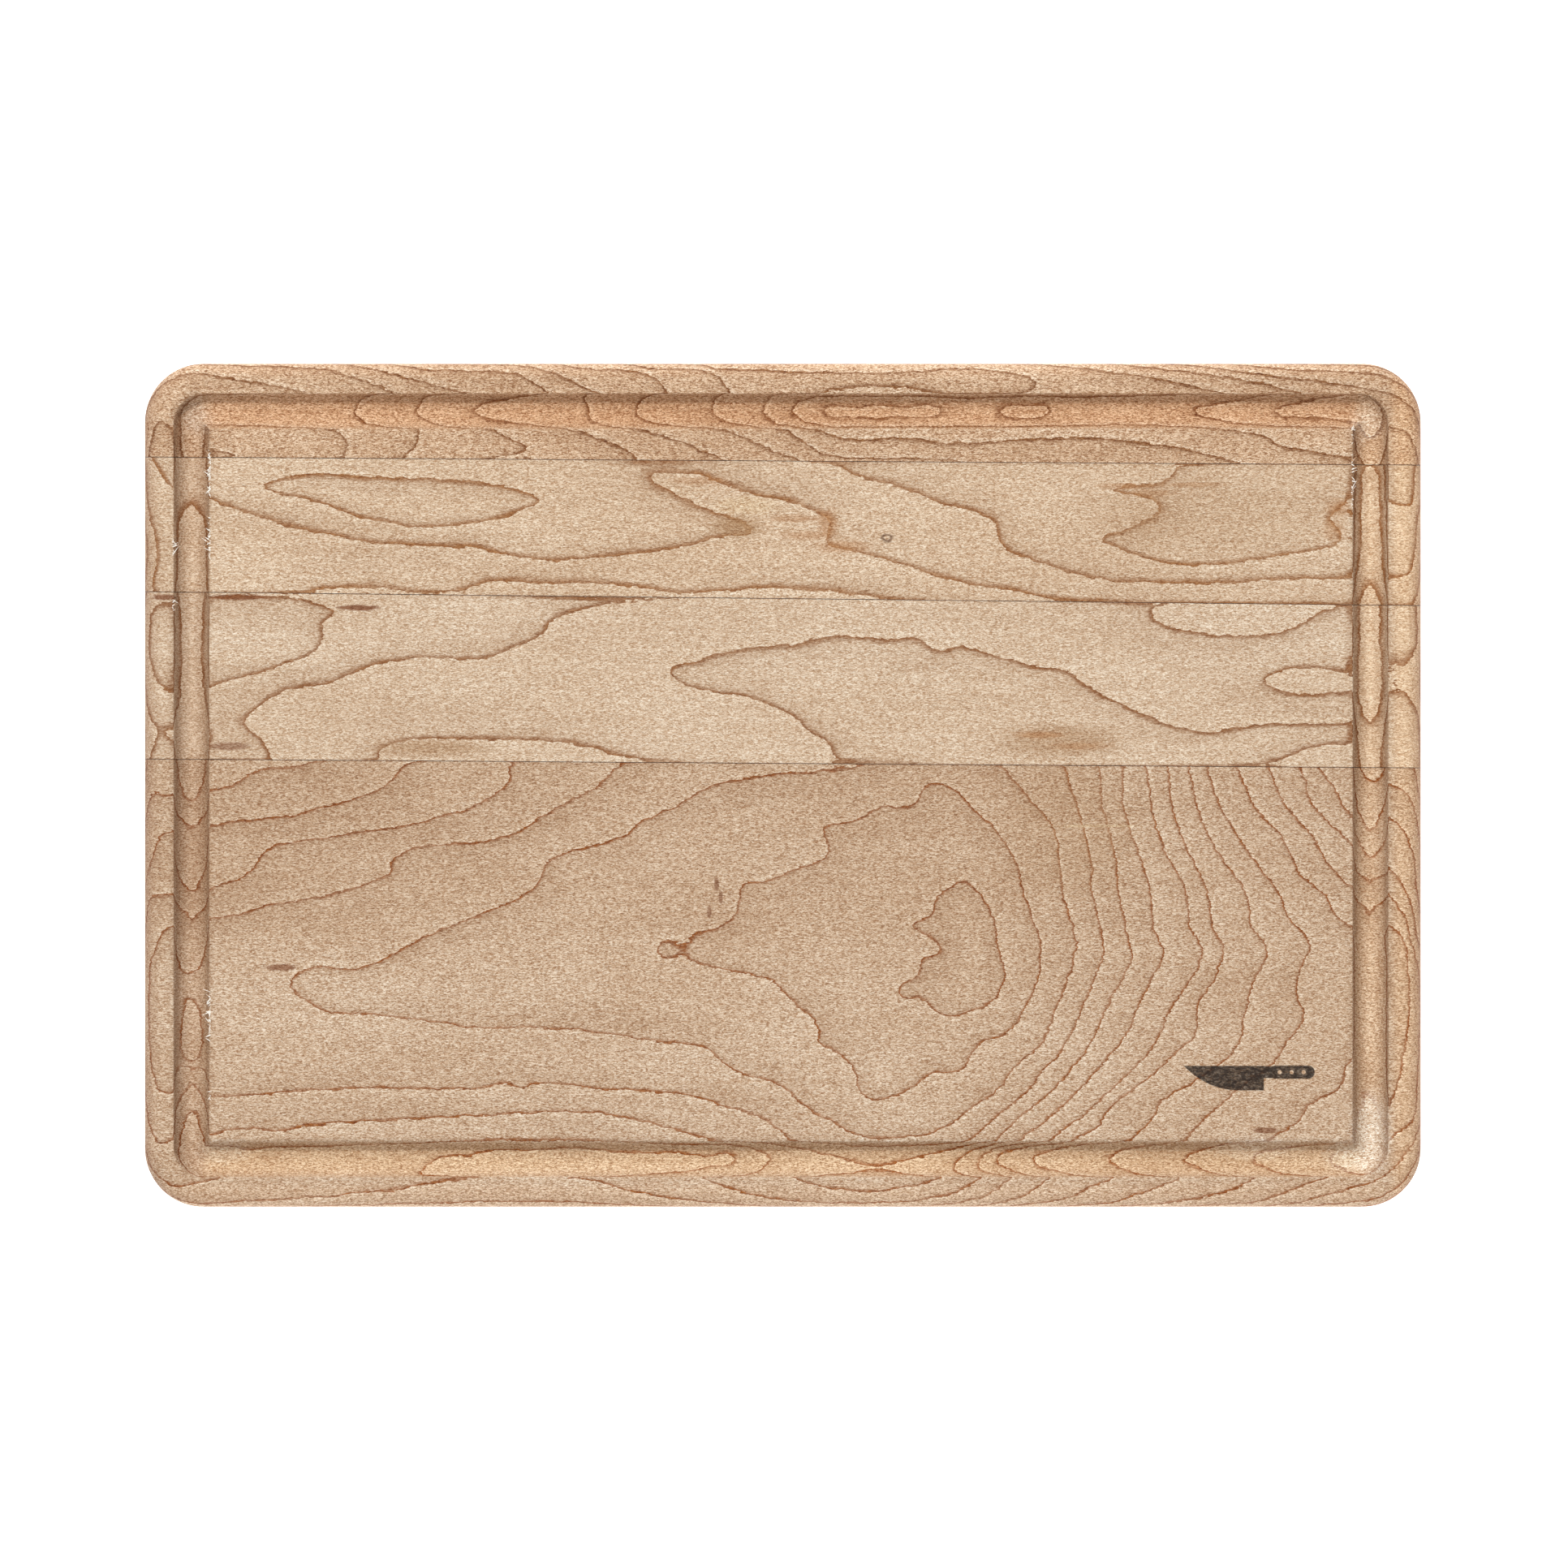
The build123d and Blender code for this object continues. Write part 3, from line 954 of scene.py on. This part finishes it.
def ringed_wood(n, number):
    ring = n.attribute("ring")
    slope = n.attribute("slope")

    # Ring lines waver by about a millimetre, and are ragged on a finer scale
    waver = n.noise(n.scaled(7, 4, 7, (number * 3, 0, 0)), 3.0, 0.6)
    jag = n.noise(n.scaled(3.2, 0.9, 3.2, (0, number * 3, 0)), 1.0)
    both = n.math("MULTIPLY_ADD", jag, LINE_JAG, waver)
    shake = n.times(n.math("SUBTRACT", both, (1 + LINE_JAG) / 2), LINE_WAVER)
    share = n.math("FRACT", n.math("MULTIPLY_ADD", shake, slope, ring))
    before = n.math("DIVIDE", n.math("SUBTRACT", 1.0, share), slope)
    after = n.math("DIVIDE", share, slope)

    # Wood darkens towards a ring's outer side, where a thin line ends it
    line_colour, line_width, line_shade = RING_LOOKS[number]
    wide_shade = n.times(n.fall(before, 0.0, WIDE_SHADE_REACH), WIDE_SHADE_STRENGTH)
    close_shade = n.fall(before, 0.0, CLOSE_SHADE_REACH)
    patchy = n.noise(n.scaled(46, 11, 20, (0, number * 5, 0)), 3.0, 0.6)
    both_shades = n.math("MULTIPLY_ADD", close_shade, line_shade, wide_shade)
    shade = n.times(both_shades, n.ramp(patchy, 0.3, 0.7, 0.35, 1.0))
    strength = n.ramp(n.noise(n.scaled(22, 9, 20, (9, 0, 0)), 2.0), 0.3, 0.65, 0.65, 1.0)
    thread = n.times(n.fall(before, LINE_CORE, line_width), strength)
    fading = n.ramp(after, LINE_CORE, GLEAM_REACH, GLEAM_STRENGTH, 0.0)
    gleam = n.times(fading, n.ramp(after, 0.0, 0.25))

    wood = n.tint(shade, STAVE_COLOURS[number], LATE_WOOD)
    wood = n.tint(thread, wood, line_colour)
    return n.tint(gleam, wood, EARLY_WOOD)


def surface_tone(n, number, ripple, pores):
    """Broad cloudiness, long faint streaks along the grain, fine ripple and pores."""
    cloud = n.noise(n.scaled(90, 26, 40, (2, number, 0)), 3.0)
    streak = n.noise(n.scaled(38, 0.9, 1.4, (0, 4, number)), 3.0, 0.6)
    swing = RIPPLE_SWINGS[number]
    tone = n.times(
        n.ramp(cloud, 0.25, 0.75, 0.93, 1.05),
        n.ramp(streak, 0.25, 0.75, 0.95, 1.04),
        n.ramp(ripple, 0.3, 0.7, 1.0 - swing, 1.0 + swing),
        pores,
    )
    return n.times(tone, far_side_shade(n)) if number == 4 else tone


def far_side_shade(n):
    """The widest stave is a little darker towards its far edge, away from its right end."""
    x, y, _ = n.axes(n.place)
    far = n.ramp(y, -80 * MM, -30 * MM)
    left = n.fall(x, 60 * MM, 120 * MM)
    return n.math("MULTIPLY_ADD", n.times(far, left), -0.085, 1.0)


# Painted light: the rim is brightened along the right end and the near side
def rim_painted_light(n, wood):
    x, y, _ = n.axes(n.place)
    right = n.ramp(x, 216 * MM, 221 * MM)
    near = n.fall(y, -146 * MM, -141 * MM)
    wood = n.tint(right, wood, RIGHT_RIM_PAINTED_LIGHT, "MULTIPLY")
    return n.tint(near, wood, NEAR_RIM_PAINTED_LIGHT, "MULTIPLY")


def end_grain_share(n):
    """0 where the surface lies along the grain, rising to 1 where the grain is cut across."""
    x = n.axes(n.tree.nodes.new("ShaderNodeNewGeometry").outputs["Normal"])[0]
    return n.math("POWER", n.math("ABSOLUTE", x), 1.6)


def end_grain_colour(n, wood):
    """End grain drinks more oil than the face, so it is darker, and its pores are dots."""
    dots = n.ramp(n.noise(n.scaled(6, 0.5, 0.5), 1.0), 0.56, 0.7, 0.0, 0.5)
    deeper = n.tint(1.0, wood, colour(206, 194, 186), "MULTIPLY")
    return n.tint(dots, deeper, colour(104, 72, 46))


def groove_finish_and_light(n):
    """The groove's finish, with painted light lifting its shade, changing from one run to the next."""
    x, y, _ = n.axes(n.place)
    run = n.tint(n.ramp(y, -100 * MM, 100 * MM), NEAR_RUN_FINISH_AND_LIGHT, FAR_RUN_FINISH_AND_LIGHT)
    run = n.tint(n.ramp(x, -204 * MM, -210 * MM), run, LEFT_RUN_FINISH_AND_LIGHT)
    return n.tint(n.ramp(x, 203 * MM, 209 * MM), run, RIGHT_RUN_FINISH_AND_LIGHT)


def pin_knot(n, wood):
    """A small dark ring round a knot as small as a pinhead."""
    x, y = 37.3, 88.5
    outer = n.spot(x, y, 2.1, 1.45, CRISP_EDGE)
    inner = n.spot(x, y, 1.2, 0.7, CRISP_EDGE)
    ring = n.math("MAXIMUM", n.math("SUBTRACT", outer, inner), 0.0)
    return n.tint(n.times(ring, 0.85), wood, colour(112, 76, 50))


# A plain outline of a kitchen knife, burned into the face near its right corner.
# The sizes below are the knife's own, before it is scaled, from a place near the blade's heel.
KNIFE_X = 167.0
KNIFE_Y = -104.5
KNIFE_SCALE = 1.13
KNIFE_SCORCH = colour(44, 31, 23)
KNIFE_BLUR = 0.18
BLADE_TIP = -21.0
BLADE_HEEL = 4.6
BLADE_BACK = 3.6
BLADE_EDGE = -4.2
BELLY_START = -2.0
BELLY_RISE = 8.0
BOLSTER = (4.0, 8.0, -0.3, 3.5)
HANDLE_X = 13.4
HANDLE_Y = 1.6
HANDLE_HALF_LENGTH = 5.2
HANDLE_RADIUS = 2.1
PIN_SPACING = 3.8
PIN_RADIUS = 0.65


def burned_knife(n, wood):
    size = KNIFE_SCALE
    x, y, _ = n.axes(n.scaled(size, size, 1, (-KNIFE_X / size, -KNIFE_Y / size, 0)))

    def above(value, level):
        return n.ramp(value, level - KNIFE_BLUR, level + KNIFE_BLUR)

    def below(value, level):
        return n.fall(value, level - KNIFE_BLUR, level + KNIFE_BLUR)

    # Blade: a straight back, and an edge that curves up to the tip at the left
    toward_tip = n.math("DIVIDE", n.math("SUBTRACT", BELLY_START, x), BELLY_START - BLADE_TIP)
    curve = n.math("POWER", n.math("MAXIMUM", toward_tip, 0.0), 2.4)
    edge = n.math("MULTIPLY_ADD", curve, BELLY_RISE, BLADE_EDGE)
    over_edge = above(n.math("SUBTRACT", y, edge), 0.0)
    blade = n.times(above(x, BLADE_TIP), below(x, BLADE_HEEL), below(y, BLADE_BACK), over_edge)
    left, right, low, high = BOLSTER
    bolster = n.times(above(x, left), below(x, right), above(y, low), below(y, high))

    # Handle: a round-ended bar with three pins left pale
    past_middle = n.math("ABSOLUTE", n.math("SUBTRACT", x, HANDLE_X))
    past_end = n.math("MAXIMUM", n.math("SUBTRACT", past_middle, HANDLE_HALF_LENGTH), 0.0)
    reach = n.distance(past_end, y, 0.0, HANDLE_Y)
    handle = n.fall(reach, HANDLE_RADIUS - 0.2, HANDLE_RADIUS + 0.2)
    mark = n.math("MAXIMUM", n.math("MAXIMUM", blade, bolster), handle)
    for pin in (-1, 0, 1):
        far = n.distance(x, y, HANDLE_X + pin * PIN_SPACING, HANDLE_Y)
        mark = n.times(mark, n.ramp(far, PIN_RADIUS - 0.15, PIN_RADIUS + 0.15))

    patchy = n.ramp(n.noise(n.scaled(1.6, 0.9, 2.0), 3.0, 0.7), 0.3, 0.6, 0.74, 0.98)
    return n.tint(n.times(mark, patchy, n.face_mask()), wood, KNIFE_SCORCH)


def glue():
    """A dark line of dried glue, broken up where the joint is tightest."""
    n = Nodes("dried_glue")
    along = n.noise(n.scaled(9, 200, 60), 4.0, 0.7)
    film = n.tint(n.ramp(along, 0.36, 0.62), colour(88, 54, 32), colour(38, 22, 12))
    n.finish(film, n.ramp(along, 0.3, 0.7, 0.5, 0.65))
    n.bump(along, 0.3, 0.05)
    return n.material


# ---------------- torn fibres

# A fibre's shape: how far along it, and how full it is there
FIBRE_STATIONS = ((0.0, 0.7), (0.3, 1.0), (0.65, 0.8), (1.0, 0.1))
LONGEST_FIBRE = 3.6

# Stretches of torn lip: the lip's x, the way to the groove, low y, high y, how many splinters
TORN_STRETCHES = [
    (LEFT_RUN + LIP_OUTER, -1, 104, 127, 40),
    (LEFT_RUN + LIP_OUTER, -1, 82, 94, 18),
    (LEFT_RUN + LIP_OUTER, -1, -113, -66, 40),
    (RIGHT_RUN - LIP_OUTER, 1, 104, 127, 28),
    (LEFT_RUN - LIP_OUTER, 1, 60, 100, 14),
]


def lip_fibre(root, heading, length, width):
    """A thin splinter rooted in the groove's lip: a closed blade that narrows to a tip."""
    along = np.array([math.cos(heading), math.sin(heading), 0.0])
    across = np.array([-along[1], along[0], 0.0])
    up = np.array([0.0, 0.0, 1.0])
    bend = random.uniform(-0.3, 0.3) * length
    droop = 0.2 * length
    vertices = []
    for share, fullness in FIBRE_STATIONS:
        centre = root + along * share * length + (across * bend - up * droop) * share**2
        half = fullness * width / 2
        vertices += [centre - across * half, centre + across * half, centre - up * half * 1.4]
    faces = [(0, 1, 2), (11, 10, 9)]
    for i in range(len(FIBRE_STATIONS) - 1):
        a, b = 3 * i, 3 * (i + 1)
        faces += [(a, b, b + 1, a + 1), (a + 1, b + 1, b + 2, a + 2), (a + 2, b + 2, b, a)]
    return vertices, faces


def torn_lip():
    """Splinters where the cutter crossed the grain, in clumps along some stretches of lip."""
    vertices = []
    faces = []
    for lip_x, to_groove, low_y, high_y, count in TORN_STRETCHES:
        clumps = [random.uniform(low_y, high_y) for _ in range(max(3, count // 5))]
        for _ in range(count):
            root_y = random.choice(clumps) + random.gauss(0, 2.0)
            root_x = lip_x - to_groove * random.uniform(0.0, 0.25)
            heading = random.choice((1, -1)) * random.uniform(0.35, 1.35)
            heading = heading if to_groove > 0 else math.pi - heading
            length = min(0.7 + random.expovariate(1.0), LONGEST_FIBRE)
            root = np.array([root_x, root_y, THICKNESS + 0.02])
            more, sides = lip_fibre(root, heading, length, random.uniform(0.2, 0.5))
            faces += [tuple(len(vertices) + i for i in side) for side in sides]
            vertices += more
    mesh = bpy.data.meshes.new("lip_fibres")
    mesh.from_pydata([tuple(v * MM) for v in vertices], [], faces)
    mesh.update()
    n = Nodes("raw_fibre")
    pale = n.noise(n.scaled(1.4, 1.4, 1.4), 2.0)
    fibre = n.tint(n.ramp(pale, 0.5, 0.62), colour(255, 248, 236), colour(190, 146, 104))
    n.finish(fibre, n.ramp(pale, 0.3, 0.7, 0.75, 0.6))
    add_piece(mesh, n.material)


# ---------------- studio

WHITE = (1, 1, 1, 1)
FLOOR_HALF_SIZE = 3.0
FLOOR_GAP = 0.0005
CAMERA_ABOVE_FACE = 8.0
VIEW_WIDTH = 0.5612
VIEW_SHIFT = 0.44
SENSOR_WIDTH = 36


def light_table():
    """A pale floor that glows a little, so that it stays clear of shadow."""
    half = FLOOR_HALF_SIZE
    mesh = bpy.data.meshes.new("floor")
    corners = [(-half, -half, 0), (half, -half, 0), (half, half, 0), (-half, half, 0)]
    mesh.from_pydata(corners, [], [(0, 1, 2, 3)])
    material = bpy.data.materials.new("pale_floor")
    material.use_nodes = True
    shader = material.node_tree.nodes["Principled BSDF"]
    shader.inputs["Base Color"].default_value = (0.85, 0.85, 0.85, 1)
    shader.inputs["Roughness"].default_value = 0.9
    shader.inputs["Emission Color"].default_value = WHITE
    shader.inputs["Emission Strength"].default_value = 1.0
    mesh.materials.append(material)
    floor = bpy.data.objects.new("floor", mesh)
    floor.location.z = -FLOOR_GAP
    bpy.context.scene.collection.objects.link(floor)


def soft_light():
    world = bpy.data.worlds.new("studio")
    world.use_nodes = True
    world.node_tree.nodes["Background"].inputs["Color"].default_value = WHITE
    world.node_tree.nodes["Background"].inputs["Strength"].default_value = 0.52
    bpy.context.scene.world = world

    add_sun("key", 2.05, 5, Vector((-0.36, 0.9, 1.25)))
    add_sun("low_fill", 0.6, 10, Vector((0.6, -0.8, 0.08)))
    bpy.context.scene.view_settings.view_transform = "Standard"


def add_sun(name, energy, spread_degrees, comes_from):
    lamp = bpy.data.lights.new(name, "SUN")
    lamp.energy = energy
    lamp.angle = math.radians(spread_degrees)
    sun = bpy.data.objects.new(name, lamp)
    sun.rotation_euler = comes_from.to_track_quat("Z", "Y").to_euler()
    bpy.context.scene.collection.objects.link(sun)


def camera_above():
    """Straight above the middle of the board, and far enough away to look flat."""
    data = bpy.data.cameras.new("camera")
    data.sensor_width = SENSOR_WIDTH
    data.lens = SENSOR_WIDTH * CAMERA_ABOVE_FACE / VIEW_WIDTH
    camera = bpy.data.objects.new("camera", data)
    camera.location = (VIEW_SHIFT * MM, VIEW_SHIFT * MM, THICKNESS * MM + CAMERA_ABOVE_FACE)
    bpy.context.scene.collection.objects.link(camera)
    bpy.context.scene.camera = camera


camera_above()
soft_light()
light_table()
for stave_number in range(1, len(SEAMS) + 2):
    make_stave(stave_number, maple(stave_number))
glue_material = glue()
for film in range(1, len(SEAMS) + 1):
    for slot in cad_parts[f"glue_line_{film}"].material_slots:
        slot.material = glue_material
torn_lip()
